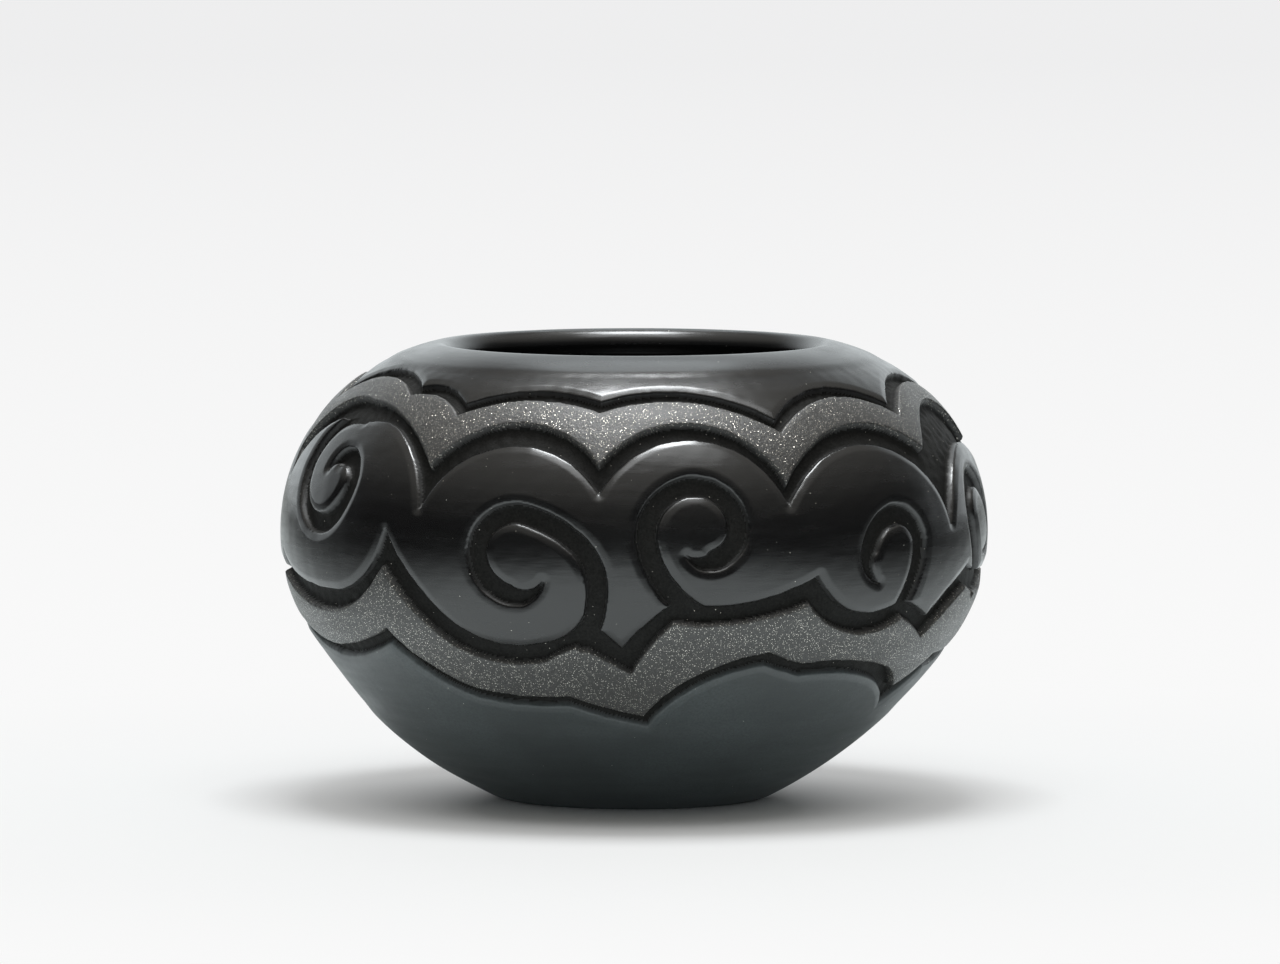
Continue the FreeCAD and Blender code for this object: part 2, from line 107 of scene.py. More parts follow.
def profile(rise, depth):
    """Radius and height at a length up the outline: a centre plus (r - depth) at its angle."""
    wide = high = np.zeros_like(rise + depth)
    base = 0.0
    for centre, radius, start, end in ARCS:
        on = (rise >= base) | (base == 0.0)
        x, z = polar(centre, radius - depth, start + (rise - base) / radius)
        wide, high = np.where(on, x, wide), np.where(on, z, high)
        base += radius * (end - start)
    return wide, high


def on_wall(along, rise, depth):
    """Point of the unrolled wall set on the jar: azimuth = along / belly radius, from the front."""
    wide, high = profile(rise, depth)
    azimuth = along / BELLY_RADIUS
    return np.stack([wide * np.sin(azimuth), -wide * np.cos(azimuth), high], axis=-1)


print("outline", round(LENGTH, 4), "radii", [round(arc[1], 4) for arc in ARCS])

# %% [markdown]
# ## The carver's lines
# The potter marks every edge freehand before cutting, in swelling curves that meet in points. A
# drawing wrapped round the jar would blur them. Here an edge is a row of corners, each with its
# azimuth, its share of the outline, and the bow of the span to the next corner. A bowed span is an
# arc, so the distance from any point to the line is exact, which later gives clean walls at every
# slope. Beyond the side that the photo shows, pairs of clouds repeat at an even pace.

# %% Edge tables
SHOULDER_EDGE_SHARES = (
    (-84.0, 0.842, 0.165), (-51.3, 0.875, 0.130), (-35.4, 0.840, 0.110), (-6.6, 0.854, 0.133),
    (27.5, 0.808, 0.188), (59.2, 0.824, 0.170),
)
CLOUD_TOP_SHARES = (
    (-84.0, 0.711, 0.180), (-61.7, 0.829, 0.116), (-36.8, 0.715, 0.270), (-5.9, 0.722, 0.306),
    (26.0, 0.687, 0.229), (60.3, 0.732, 0.260),
)
CLOUD_FOOT_SHARES = (
    (-84.0, 0.676, 0.170), (-58.5, 0.790, 0.215), (-37.2, 0.647, 0.309), (-5.7, 0.680, 0.339),
    (26.0, 0.656, 0.328), (63.1, 0.606, 0.300),
)
LOBE_FOOT_SHARES = (
    (-84.0, 0.548, -0.060), (-59.0, 0.499, -0.170), (-44.0, 0.607, -0.030), (-31.6, 0.459, -0.120),
    (-14.3, 0.430, -0.115), (-8.3, 0.478, 0.020), (-2.0, 0.417, 0.040), (6.2, 0.498, -0.080),
    (31.0, 0.540, -0.220), (49.8, 0.490, 0.030), (58.4, 0.452, 0.050), (70.4, 0.530, -0.100),
)
RIBBON_TOP_SHARES = (
    (-84.0, 0.512, -0.050), (-62.0, 0.464, -0.115), (-44.4, 0.551, -0.040), (-32.6, 0.424, -0.110),
    (-15.2, 0.396, 0.040), (-9.6, 0.425, 0.020), (-0.4, 0.369, 0.060), (6.4, 0.469, -0.060),
    (29.6, 0.496, -0.180), (50.6, 0.459, 0.020), (59.4, 0.416, 0.060), (71.4, 0.497, -0.100),
)
RIBBON_FOOT_SHARES = (
    (-84.0, 0.445, -0.060), (-66.0, 0.394, -0.050), (-46.2, 0.440, -0.070), (-31.4, 0.330, -0.040),
    (-12.4, 0.318, -0.030), (2.0, 0.273, 0.110), (24.0, 0.407, -0.020), (31.5, 0.380, 0.050),
    (52.3, 0.361, 0.060), (61.4, 0.308, -0.030), (71.0, 0.369, -0.080),
)
BOWL_EDGE_SHARES = (
    (-84.0, 0.422, -0.060), (-66.0, 0.372, -0.050), (-46.9, 0.415, -0.070), (-32.4, 0.309, -0.040),
    (-12.8, 0.296, -0.030), (2.9, 0.248, 0.110), (23.8, 0.383, -0.020), (31.7, 0.356, 0.050),
    (51.5, 0.334, 0.050), (63.2, 0.268, -0.030), (72.2, 0.342, -0.080),
)

# %% Far side tables
PAIR_STARTS = (95.0, 155.3, 215.7)
PAIR_PACE = 30.2
SHOULDER_PAIR_SHARES = ((0.0, 0.830, 0.170), (1.0, 0.842, 0.170))
CLOUD_TOP_PAIR_SHARES = ((0.0, 0.722, 0.290), (1.0, 0.735, 0.290))
CLOUD_FOOT_PAIR_SHARES = ((0.0, 0.660, 0.310), (1.0, 0.674, 0.310))
LOBE_FOOT_PAIR_SHARES = (
    (0.0, 0.552, -0.030), (0.38, 0.466, -0.120), (0.69, 0.435, -0.100), (0.86, 0.472, 0.020),
    (1.04, 0.420, 0.040), (1.27, 0.500, -0.080),
)
RIBBON_TOP_PAIR_SHARES = (
    (0.0, 0.505, -0.040), (0.36, 0.430, -0.110), (0.70, 0.402, 0.040), (0.82, 0.422, 0.020),
    (1.07, 0.372, 0.060), (1.28, 0.470, -0.060),
)
RIBBON_FOOT_PAIR_SHARES = (
    (0.0, 0.432, -0.070), (0.43, 0.334, -0.040), (0.80, 0.322, -0.030), (1.08, 0.276, 0.070),
    (1.56, 0.398, -0.050),
)
BOWL_EDGE_PAIR_SHARES = (
    (-0.03, 0.408, -0.070), (0.40, 0.312, -0.040), (0.79, 0.300, -0.030), (1.11, 0.252, 0.070),
    (1.545, 0.375, -0.050),
)

# %% Volute tables
VOLUTE_SHARES = (
    (172.0, ((-59.5, 0.800), (-70.8, 0.731), (-70.6, 0.658), (-61.1, 0.609), (-54.9, 0.675),
             (-59.3, 0.721), (-61.6, 0.696))),
    (60.0, ((-8.4, 0.432), (-5.9, 0.526), (-9.4, 0.601), (-18.0, 0.644), (-25.8, 0.574),
            (-20.8, 0.513), (-16.2, 0.540))),
    (150.0, ((10.5, 0.480), (2.2, 0.592), (9.4, 0.692), (16.9, 0.622), (13.2, 0.572),
             (9.8, 0.586))),
    (60.0, ((50.0, 0.478), (53.0, 0.574), (46.8, 0.630), (41.2, 0.581), (43.6, 0.538))),
    (118.0, ((77.5, 0.488), (72.5, 0.595), (79.5, 0.668), (86.0, 0.606), (81.0, 0.560))),
)
OPENING_LEFT = (60.0, ((0.80, 0.440), (0.885, 0.540), (0.62, 0.640), (0.36, 0.575),
                       (0.52, 0.515), (0.66, 0.545)))
OPENING_RIGHT = (138.0, ((1.38, 0.480), (1.17, 0.585), (1.42, 0.675), (1.67, 0.610),
                         (1.53, 0.560), (1.42, 0.580)))
VOLUTE_HALF_WIDTH = 3.2 * MM
SHOULDER_GROOVE_WIDTH = 4.7 * MM


# %% Arcs from the tables
def with_pairs(near, pair):
    """The front corners, then the pair of far clouds repeated from each of its starts."""
    return list(near) + [(start + PAIR_PACE * steps, *rest)
                         for start in PAIR_STARTS for steps, *rest in pair]


def bowed(start, finish, bow):
    """Arc whose height is bow times its chord, as its centre, radius, first angle and sweep."""
    chord = np.subtract(finish, start)
    span = math.hypot(*chord)
    rise = bow * span
    radius = (span ** 2 / 4 + rise ** 2) / (2 * abs(rise))
    side = math.copysign(radius - abs(rise), rise) / span
    centre = np.add(start, finish) / 2 + side * np.array([chord[1], -chord[0]])
    first = math.atan2(start[1] - centre[1], start[0] - centre[0])
    return centre, radius, first, -4 * math.atan(2 * bow)


def unrolled(corners):
    """Corners in metres along and up the unrolled wall."""
    return [(math.radians(row[0]) * BELLY_RADIUS, row[1] * LENGTH) for row in corners]


def ring_arcs(corners):
    """Arcs of an edge that runs round the jar and closes after one lap."""
    points = unrolled(corners)
    points.append((points[0][0] + AROUND, points[0][1]))
    return [bowed(a, b, row[2]) for a, b, row in zip(points, points[1:], corners)]


def spiral_arcs(heading_degrees, corners):
    """Arcs through corners, each leaving in the direction in which the last one ends."""
    points, heading, arcs = unrolled(corners), math.radians(heading_degrees), []
    for here, there in zip(points, points[1:]):
        swing = math.atan2(there[1] - here[1], there[0] - here[0]) - heading
        swing = (swing + math.pi) % (2 * math.pi) - math.pi
        arcs.append(bowed(here, there, -math.tan(swing / 2) / 2))
        heading += 2 * swing
    return arcs


shoulder_rows = with_pairs(SHOULDER_EDGE_SHARES, SHOULDER_PAIR_SHARES)
groove_rows = [(round_at, rise - SHOULDER_GROOVE_WIDTH / LENGTH, bow)
               for round_at, rise, bow in shoulder_rows]
EDGES = [ring_arcs(rows) for rows in (
    shoulder_rows, groove_rows,
    with_pairs(CLOUD_TOP_SHARES, CLOUD_TOP_PAIR_SHARES),
    with_pairs(CLOUD_FOOT_SHARES, CLOUD_FOOT_PAIR_SHARES),
    with_pairs(LOBE_FOOT_SHARES, LOBE_FOOT_PAIR_SHARES),
    with_pairs(RIBBON_TOP_SHARES, RIBBON_TOP_PAIR_SHARES),
    with_pairs(RIBBON_FOOT_SHARES, RIBBON_FOOT_PAIR_SHARES),
    with_pairs(BOWL_EDGE_SHARES, BOWL_EDGE_PAIR_SHARES),
)]
volute_rows = list(VOLUTE_SHARES) + [
    (heading, [(start + PAIR_PACE * steps, share) for steps, share in corners])
    for start in PAIR_STARTS for heading, corners in (OPENING_LEFT, OPENING_RIGHT)]
VOLUTES = [spiral_arcs(heading, corners) for heading, corners in volute_rows]
print("edges", [len(edge) for edge in EDGES], "volutes", len(VOLUTES))

# %% [markdown]
# ## Distance to a cut
# A gouge leaves a wall of the same steepness wherever it goes. A plain height map would smear that
# wall on slanting lines, so the relief is a function of the true distance to the nearest edge. The
# distance is worked out arc by arc for all grid points at once, on the wall rolled flat.

# %% Distance to an arc
REACH = 6.0 * MM
MARGIN = 2.0 * MM
LAPS = (-1, 0, 1)
PATH_STEPS = 9


def about(x, y, arc):
    """How far points lie from an arc's centre, and by what angle past its start."""
    centre, _, first, sweep = arc
    dx, dy = x - centre[0], y - centre[1]
    return np.hypot(dx, dy), (np.arctan2(dy, dx) - first) * np.sign(sweep) % (2 * math.pi)


def arc_distance(x, y, arc):
    """Distance to one arc: to its circle inside its sweep, and to its nearer end outside."""
    centre, radius, first, sweep = arc
    out, turn = about(x, y, arc)
    ends = [polar(centre, radius, first), polar(centre, radius, first + sweep)]
    to_ends = np.minimum(*[np.hypot(x - end[0], y - end[1]) for end in ends])
    return np.where(turn <= abs(sweep), np.abs(out - radius), to_ends)


def in_reach(line, path):
    """Which entries of a sorted line lie between a path's least and most, with the reach added."""
    room = REACH + MARGIN
    return np.flatnonzero((line > path.min() - room) & (line < path.max() + room))


def chain_distance(x, y, arcs):
    """Distance to the nearest arc of a chain, worked out only in the patch that it can reach."""
    nearest = np.full(x.shape, REACH)
    for arc in arcs:
        centre, radius, first, sweep = arc
        across, up = polar(centre, radius, first + sweep * np.linspace(0, 1, PATH_STEPS))
        level = in_reach(y[:, 0], up)
        for shift in AROUND * np.array(LAPS):
            beside = in_reach(x[0], across + shift)
            if len(beside) and len(level):
                patch = np.s_[level[0]:level[-1] + 1, beside[0]:beside[-1] + 1]
                found = arc_distance(x[patch] - shift, y[patch], arc)
                nearest[patch] = np.minimum(nearest[patch], found)
    return nearest


# %% Distance to a volute
def hook_distance(x, y, arc):
    """Signed distance to a trench's last arc: its outer wall stays at half its width, and its
    inner one swings out to meet it, half * (2 share^1.5 - 1) from the middle line.
    """
    centre, radius, first, sweep = arc
    out, turn = about(x, y, arc)
    share = np.clip(turn / abs(sweep), 0, 1)
    off = out - radius
    inner = VOLUTE_HALF_WIDTH * (2 * share ** 1.5 - 1)
    slant = math.cos(math.atan(2 * VOLUTE_HALF_WIDTH / (radius * abs(sweep))))
    tip = polar(centre, radius + VOLUTE_HALF_WIDTH, first + sweep)
    beyond = np.hypot(x - tip[0], y - tip[1])
    return np.where(turn <= abs(sweep),
                    np.maximum(off - VOLUTE_HALF_WIDTH, (inner - off) * slant), beyond)


def volute_distance(x, y, arcs):
    """Signed distance to a volute: the middle line less half the width, and the hook at its end."""
    nearest = chain_distance(x, y, arcs[:-1]) - VOLUTE_HALF_WIDTH
    hook = arcs[-1]
    for shift in AROUND * np.array(LAPS):
        near = np.flatnonzero(np.abs(x[0] - shift - hook[0][0]) < hook[1] + 2 * REACH)
        if len(near):
            patch = np.s_[:, near[0]:near[-1] + 1]
            found = hook_distance(x[patch] - shift, y[patch], hook)
            nearest[patch] = np.minimum(nearest[patch], found)
    return nearest


# %% Height of an edge
EDGE_SLACK = 1e-9


def edge_height(x, arcs):
    """How high an edge runs at each column: the arc's circle solved for its height."""
    height = np.full(x.shape, np.nan)
    for centre, radius, first, sweep in arcs:
        here, there = polar(centre, radius, first), polar(centre, radius, first + sweep)
        side = -np.sign(sweep)
        for shift in AROUND * np.array(LAPS):
            dx = x - shift - centre[0]
            on = ((x - shift >= here[0] - EDGE_SLACK) & (x - shift <= there[0] + EDGE_SLACK)
                  & (np.abs(dx) <= radius))
            height[on] = centre[1] + side * np.sqrt(radius ** 2 - dx[on] ** 2)
    return height


# %% [markdown]
# ## Grid of the skin
# A fired skin has no seam. Cutting the trenches out of it with booleans would leave slivers along
# every edge. Instead one grid covers the wall, and each of its points learns its distance to the
# nearest trench. A small waver in that distance stands for the hand that held the knife, and the
# points next to an edge slide onto it, so every edge is a clean line of the mesh.

# %% Grid of the wall
FIRST_JOINT = 0.214 * LENGTH
LAST_JOINT = 0.940 * LENGTH
CELL = 0.42 * MM
CLOUDS = len(VOLUTES)
columns = CLOUDS * round(AROUND / CELL / CLOUDS)
rows = round((LAST_JOINT - FIRST_JOINT) / CELL)
FRONT_SEAM = -math.pi * BELLY_RADIUS
across = FRONT_SEAM + AROUND * np.arange(columns + 1) / columns
up = np.linspace(FIRST_JOINT, LAST_JOINT, rows + 1)
X, Y = np.meshgrid(across, up)
print("grid", columns, "by", rows)


# %% Waver of the hand
def ripple(x, y, size, seed):
    """Smooth noise between about -1 and 1: eight sine waves of random heading and phase, each
    with a whole number of laps, so that it closes round the jar.
    """
    rng = np.random.default_rng(seed)
    total = np.zeros_like(x)
    for _ in range(8):
        laps = max(1, round(AROUND / size * abs(rng.normal(0.6, 0.4))))
        total += np.sin(2 * math.pi * (laps * x / AROUND + y / size * rng.normal(0, 0.7)
                                       + rng.random()))
    return total / 4


# %% Signed distance to the trenches
HAND, HAND_SIZE = 0.16 * MM, 14 * MM
OVERCUT = 0.18 * MM


def field_distance(x, y):
    """Distance to the nearest trench, negative inside one, and which field a point lies in."""
    heights = [edge_height(x[0], edge) for edge in EDGES]
    gaps = [np.where(y > high, 1, -1) * chain_distance(x, y, edge)
            for edge, high in zip(EDGES, heights)]
    cuts = [np.maximum(gaps[n], -gaps[n + 1]) for n in range(0, len(EDGES), 2)]
    inside = np.minimum.reduce(cuts)
    for arcs in VOLUTES:
        inside = np.minimum(inside, volute_distance(x, y, arcs))
    middles = [(heights[n] + heights[n + 1]) / 2 for n in range(0, len(EDGES), 2)]
    field = sum((y < middle).astype(int) for middle in middles)
    return inside, field


distance, field = field_distance(X, Y)
distance = distance + HAND * ripple(X, Y, HAND_SIZE, 3) - OVERCUT
print("cut share", round(float((distance < 0).mean()), 3))

# %% Points on the lines
SETTLE_SHARE = 0.42
LEAST_SLOPE, MOST_SLOPE = 0.5, 1.3


def settle(x, y, gap, level):
    """Slides the points nearest to a line onto it, by (gap - level) * slope / |slope|^2."""
    step_up, step_along = np.gradient(gap, y[:, 0], x[0])
    size = np.maximum(np.hypot(step_up, step_along), LEAST_SLOPE)
    near = (np.abs(gap - level) < SETTLE_SHARE * CELL) & (size < MOST_SLOPE)
    near[:, (0, -1)] = near[(0, -1), :] = False
    pull = np.where(near, (gap - level) / size ** 2, 0)
    return x - pull * step_along, y - pull * step_up, np.where(near, level, gap), near.sum()


X, Y, distance, moved = settle(X, Y, distance, 0.0)
print("points set on the lines", moved)

# %% [markdown]
# ## From distance to depth
# The knife drops steeply from each field, the rubbing stone rounds the top corner, and the gouge
# leaves a hollow, slightly uneven floor. The polished fields are also rubbed down for a few
# millimetres before the edge, so they swell like cushions and catch a line of light. All of this is
# a sum of simple functions of the one distance.

# %% Relief
WALL_RUN = 1.5 * MM
ROUND_OVER = 0.30 * MM
SWELL_REACH = 6.0 * MM
SWELL, RIBBON_SWELL = 0.95 * MM, 0.25 * MM
EXTRA_CUT, RUBBED_DOWN = 0.20 * MM, 0.06 * MM
FLOOR_WAVE, SKIN_WAVE = 0.15 * MM, 0.06 * MM
FADE_LOW, FADE_HIGH = 9.0 * MM, 6.0 * MM
CUT_START, CUT_BLEND = 0.15 * MM, 0.55 * MM


def smooth_step(t):
    """6 t^5 - 15 t^4 + 10 t^3 between 0 and 1: flat at both ends."""
    t = np.clip(t, 0, 1)
    return t ** 3 * (t * (6 * t - 15) + 10)


def gouge(gap):
    """Share of the full depth: 1 - (1 - t)^2.4, steep at the edge and hollow at the floor."""
    t = np.clip((ROUND_OVER - gap) / (ROUND_OVER + WALL_RUN), 0, 1)
    return (1 - (1 - t) ** 2.4) * smooth_step(t * 3.0)


carved = gouge(distance)
cushion = np.where(np.isin(field, (1, 3)), RIBBON_SWELL, SWELL)
swell = np.clip(1 - distance / SWELL_REACH, 0, 1) ** 2 * cushion
floor_depth = CARVE_DEPTH + EXTRA_CUT + FLOOR_WAVE * ripple(X, Y, 5 * MM, 11)
skin_depth = swell + RUBBED_DOWN + SKIN_WAVE * ripple(X, Y, 40 * MM, 5)
fade = smooth_step((Y - FIRST_JOINT) / FADE_LOW) * smooth_step((LAST_JOINT - Y) / FADE_HIGH)
depth = np.maximum(floor_depth * carved + skin_depth * (1 - carved), 0) * fade
points = on_wall(X, Y, depth)
points[:, -1] = points[:, 0]
cut = smooth_step((CUT_START - distance) / CUT_BLEND)
print("deepest", round(float(depth.max()) * 1000, 2), "mm")

# %% [markdown]
# ## Clay finishes
# All of the jar wears one slip, a thin coat of fine clay that smoke turned black. Rubbed with a
# stone it shines, rubbed less on the bowl it is satin, left alone it stays sandy with flecks of
# mica, and in the cuts the bare wall is dry. The satin bowl is also painted a lighter slate grey,
# as painted reflection of the lit paper, and the cut clay is painted much darker than the sandy
# slip, as painted shade in the trenches. Paint on separate meshes would show a ragged line at each
# edge, so a vertex attribute, cut, tells every finish how far the knife has gone, and they all fade
# into the same cut clay. First come helpers that add a node and feed it in one call.


# %% Node helpers
def feed(tree, socket, value):
    """Links another socket to this one, or sets a number or a vector on it."""
    if isinstance(value, bpy.types.NodeSocket):
        tree.links.new(value, socket)
    else:
        socket.default_value = value


def node(tree, kind, place, **inputs):
    """Adds a shader node and feeds its inputs by name, with _ for a space."""
    made = tree.nodes.new(kind)
    made.location = place
    for name, value in inputs.items():
        feed(tree, made.inputs[name.replace("_", " ")], value)
    return made


def arithmetic(tree, kind, place, *values):
    """A Math node whose inputs are sockets or numbers."""
    made = node(tree, "ShaderNodeMath", place)
    made.operation = kind
    for socket, value in zip(made.inputs, values):
        feed(tree, socket, value)
    return made.outputs[0]


def vectors(tree, kind, place, *values, scale=None):
    """A Vector Math node whose inputs are sockets or triples, and a scale for SCALE."""
    made = node(tree, "ShaderNodeVectorMath", place)
    made.operation = kind
    for socket, value in zip(made.inputs, values):
        feed(tree, socket, value)
    if kind == "SCALE":
        feed(tree, made.inputs["Scale"], scale)
    return made.outputs["Value" if kind == "LENGTH" else "Vector"]


def ranged(tree, place, source, low, high, to_low, to_high, eased=False):
    """A Map Range node from low..high to to_low..to_high, clamped, straight or eased."""
    made = node(tree, "ShaderNodeMapRange", place, Value=source, From_Min=low, From_Max=high,
                To_Min=to_low, To_Max=to_high)
    made.interpolation_type = "SMOOTHSTEP" if eased else "LINEAR"
    return made.outputs["Result"]


def colour_between(tree, place, share, first, second):
    """A colour Mix node between two colours or sockets."""
    made = node(tree, "ShaderNodeMix", place)
    made.data_type = "RGBA"
    for name, value in (("A", first), ("B", second)):
        socket = next(one for one in made.inputs if one.name == name and one.type == "RGBA")
        feed(tree, socket, (*value, 1) if isinstance(value, tuple) else value)
    feed(tree, made.inputs["Factor"], share)
    return next(one for one in made.outputs if one.type == "RGBA")


# %% [markdown]
# ### Colour and mica
# The slip is a little cloudy from the smoke and speckled by its sand. Mica flecks are thin plates
# that lie at random tilts, so they flash where one happens to face the lamp. White paint would
# light up all of them at once. Here they are small cells of a Voronoi pattern: one random number
# picks a cell and another tilts it, because one number for both would gather the flashes on one
# side.

# %% Colour of the clay
# The cut clay's colour is painted shade: it is drawn about three times darker than the sandy slip,
# for the shade that falls in the trenches.
SHADED_CUT_COLOUR = (0.0125, 0.0122, 0.0112)
CUT_ROUGH = 0.70
MICA_COLOUR = (0.95, 0.91, 0.82)
MICA_TILT = 0.42
CUT_FLECK = 0.004
KEEN_FROM, KEEN_FLECK = 0.4, -0.24


def times(colour, share):
    """A colour made darker or lighter by one factor."""
    return tuple(share * channel for channel in colour)


def clay_colour(tree, where, sand, cut_here, colour):
    """Slip at 0.72 to 1.3 of its colour by smoke and darker by sand, then cut clay by the cut,
    whose dark colour is painted shade.
    """
    smoke = node(tree, "ShaderNodeTexNoise", (-1500, 500), Vector=where, Scale=26.0, Detail=4.0)
    cloud = ranged(tree, (-1250, 500), smoke.outputs["Fac"], 0.35, 0.65, 0.0, 1.0)
    slip = colour_between(tree, (-1000, 500), cloud, times(colour, 0.72), times(colour, 1.3))
    grit = ranged(tree, (-1250, 200), sand, 0.3, 0.7, 0.0, 1.0)
    sandy_slip = colour_between(tree, (-800, 400), grit, times(colour, 0.55), slip)
    bare_with_shade = colour_between(tree, (-1000, 250), grit, times(SHADED_CUT_COLOUR, 0.5), times(SHADED_CUT_COLOUR, 1.6))
    return colour_between(tree, (-600, 400), cut_here, sandy_slip, bare_with_shade)


def mica_flecks(tree, where, cut_here, fleck):
    """Discs in picked Voronoi cells, and their tilt: 2 t c - t for a cell's random colour c."""
    mica = node(tree, "ShaderNodeTexVoronoi", (-1500, -100), Vector=where, Scale=2200.0,
                Randomness=1.0)
    disc = ranged(tree, (-1250, -100), mica.outputs["Distance"], 0.35, 0.19, 0.0, 1.0)
    pick = node(tree, "ShaderNodeTexWhiteNoise", (-1250, -350), Vector=mica.outputs["Position"])
    limit = ranged(tree, (-1250, -250), cut_here, 0.0, 1.0, 1 - fleck, 1 - CUT_FLECK)
    picked = arithmetic(tree, "GREATER_THAN", (-1000, -300), pick.outputs["Value"], limit)
    flecks = arithmetic(tree, "MULTIPLY", (-800, -200), disc, picked)
    tilt = vectors(tree, "MULTIPLY_ADD", (-1000, -1100), mica.outputs["Color"],
                   (2 * MICA_TILT,) * 3, (-MICA_TILT,) * 3)
    return flecks, vectors(tree, "SCALE", (-800, -1100), tilt, scale=flecks)


# %% [markdown]
# ### Gloss and grain
# The stone leaves long flat strokes, so the gloss comes from a noise drawn out sideways. Sand and
# strokes are fine enough for bump, and each fleck's tilt is added to that normal.

# %% Gloss and normal
def stroke_gloss(tree, where, cut_here, flecks, rough, streak):
    """The strokes, and rough +- streak by them, dry in the cuts. A rough finish's flecks shine."""
    drawn_out = node(tree, "ShaderNodeMapping", (-1700, -600), Vector=where, Scale=(1.0, 1.0, 7.0))
    strokes = node(tree, "ShaderNodeTexNoise", (-1500, -600), Vector=drawn_out.outputs["Vector"],
                   Scale=42.0, Detail=6.0).outputs["Fac"]
    gloss = ranged(tree, (-1250, -600), strokes, 0.3, 0.7, rough - streak, rough + streak)
    dry = arithmetic(tree, "MULTIPLY_ADD", (-1000, -600), cut_here, CUT_ROUGH - rough, gloss)
    keen = KEEN_FLECK if rough > KEEN_FROM else 0.0
    return strokes, arithmetic(tree, "MULTIPLY_ADD", (-800, -600), flecks, keen, dry)


def clay_normal(tree, sand, strokes, cut_here, grain, tilt):
    """Bumps of sand, full in the cuts and grain deep elsewhere, and of strokes, plus the tilt."""
    relief = arithmetic(tree, "MULTIPLY_ADD", (-1000, -850), cut_here, 1.0 - grain, grain)
    sand_bump = node(tree, "ShaderNodeBump", (-600, -850), Strength=1.0, Distance=0.00022,
                     Height=arithmetic(tree, "MULTIPLY", (-800, -850), relief, sand))
    stroke_bump = node(tree, "ShaderNodeBump", (-400, -850), Strength=0.22, Distance=0.0004,
                       Height=strokes, Normal=sand_bump.outputs["Normal"])
    facing = vectors(tree, "ADD", (-200, -850), stroke_bump.outputs["Normal"], tilt)
    return vectors(tree, "NORMALIZE", (0, -850), facing)


# %% Finish builder
def clay_finish(name, colour, rough, grain, fleck, streak=0.05, specular=1.0, cut_share=None):
    """Smoked clay with its colour, gloss, grain and flecks; cut by the attribute or one share."""
    material = bpy.data.materials.new(name)
    material.use_nodes = True
    tree = material.node_tree
    shader = tree.nodes["Principled BSDF"]
    where = node(tree, "ShaderNodeTexCoord", (-1800, 0)).outputs["Object"]
    if cut_share is None:
        reader = node(tree, "ShaderNodeAttribute", (-1800, 400))
        reader.attribute_name = "cut"
        cut_here = reader.outputs["Fac"]
    else:
        cut_here = arithmetic(tree, "ADD", (-1800, 400), cut_share, 0.0)
    sand = node(tree, "ShaderNodeTexNoise", (-1500, 200), Vector=where, Scale=1300.0, Detail=3.0,
                Roughness=0.7).outputs["Fac"]
    clay = clay_colour(tree, where, sand, cut_here, colour)
    flecks, tilt = mica_flecks(tree, where, cut_here, fleck)
    strokes, gloss = stroke_gloss(tree, where, cut_here, flecks, rough, streak)
    coloured = colour_between(tree, (-400, 300), flecks, clay, MICA_COLOUR)
    for socket, value in (("Base Color", coloured), ("Metallic", flecks), ("Roughness", gloss),
                          ("Specular IOR Level", specular),
                          ("Normal", clay_normal(tree, sand, strokes, cut_here, grain, tilt))):
        feed(tree, shader.inputs[socket], value)
    return material


# %% Finishes
BURNISHED = {"colour": (0.0062, 0.0062, 0.0064), "rough": 0.25, "grain": 0.02, "fleck": 0.0015}
# The satin colour is painted light: a slate grey about eight times the burnished black, standing in
# for lit paper reflected in the lower bowl and foot. Its roughness is the real satin.
SATIN_PAINTED_LIGHTER = {"colour": (0.046, 0.057, 0.059), "rough": 0.46, "grain": 0.04, "fleck": 0.001}
polished = clay_finish("burnished black slip", **BURNISHED)
satin = clay_finish("satin slip painted lighter", **SATIN_PAINTED_LIGHTER)
sandy = clay_finish("matte sandy slip", (0.043, 0.0415, 0.039), rough=0.43, grain=1.0, fleck=0.50)
shaded_cut_clay = clay_finish("cut clay", SHADED_CUT_COLOUR, CUT_ROUGH, grain=1.0, fleck=CUT_FLECK, specular=0.2,
                       cut_share=1.0)
smooth_slip = clay_finish("burnished plain slip", **BURNISHED, cut_share=0.0)
foot_slip_painted_lighter = clay_finish("satin foot slip, painted lighter", **SATIN_PAINTED_LIGHTER, cut_share=0.0)
scraped = clay_finish("scraped inner clay", (0.0085, 0.0080, 0.0075), rough=0.42, grain=0.35,
                      fleck=0.02, streak=0.08, specular=0.5, cut_share=0.0)
print("finishes", [one.name for one in bpy.data.materials])

# %% [markdown]
# ## The sag of the soft bowl
# A coiled bowl is lifted and turned while it is soft, and this one sagged outwards at its lower
# left. A lattice could bend the finished pieces. One function of the point is exact and keeps
# neighbours joined, as they all go through it.

# %% Sag
SLUMP, SLUMP_TOP, SLUMP_FOOT = 2.8 * MM, 52 * MM, 14 * MM
ON_AXIS = 1e-6


def slumped(verts):
    """Moves x by slump * left^2 * a step that grows from the belly down and halves at the foot."""
    x, y, z = verts.T
    wide = np.hypot(x, y)
    left = np.clip(-x / np.maximum(wide, ON_AXIS), 0, 1) ** 2
    low = smooth_step((SLUMP_TOP - z) / (SLUMP_TOP - SLUMP_FOOT))
    foot_share = 0.5 + 0.5 * smooth_step(z / SLUMP_FOOT)
    off_axis = smooth_step(wide / FOOT_RADIUS)
    return np.stack([x - SLUMP * left * low * foot_share * off_axis, y, z], axis=-1)


# %% [markdown]
# ## Pieces of the carved skin
# The wall is one grid, but the CAD has a node for each field, and the floors of the trenches belong
# to the coils. So each quad goes to the field that its middle lies in, or to the cut clay when it
# lies past the edge. Neighbours share their border points, which leaves no gap between pieces. Each
# field is also split into five sectors, which keeps every mesh light.

# %% Mesh helper
NO_FAN = np.zeros((0, 3), dtype=int)


